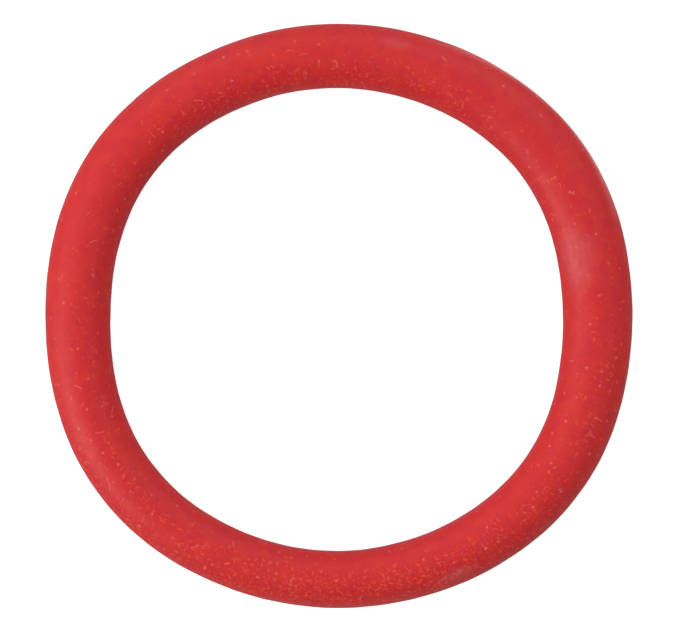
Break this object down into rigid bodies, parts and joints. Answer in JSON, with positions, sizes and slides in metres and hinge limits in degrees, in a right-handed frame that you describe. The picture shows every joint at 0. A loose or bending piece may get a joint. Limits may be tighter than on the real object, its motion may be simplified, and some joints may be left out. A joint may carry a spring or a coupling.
{
  "type": "throwing ring",
  "caption": "Plain round throwing ring of solid moulded rubber, circular in section, for tossing and catching in lawn and deck games.",
  "frame": {"origin": "on the ring's axis, in the plane that the ring lies on", "axes": "+Z along the ring's axis, up; X and Y along two diameters, which are alike"},
  "size_m": [0.17, 0.17, 0.0185],
  "materials": {
    "red_rubber": "satin, as moulded: bright red vulcanised rubber with fine pale and orange specks and a slight bloom"
  },
  "bodies": {
    "root": {"rubber_ring": "red_rubber"}
  },
  "joints": []
}
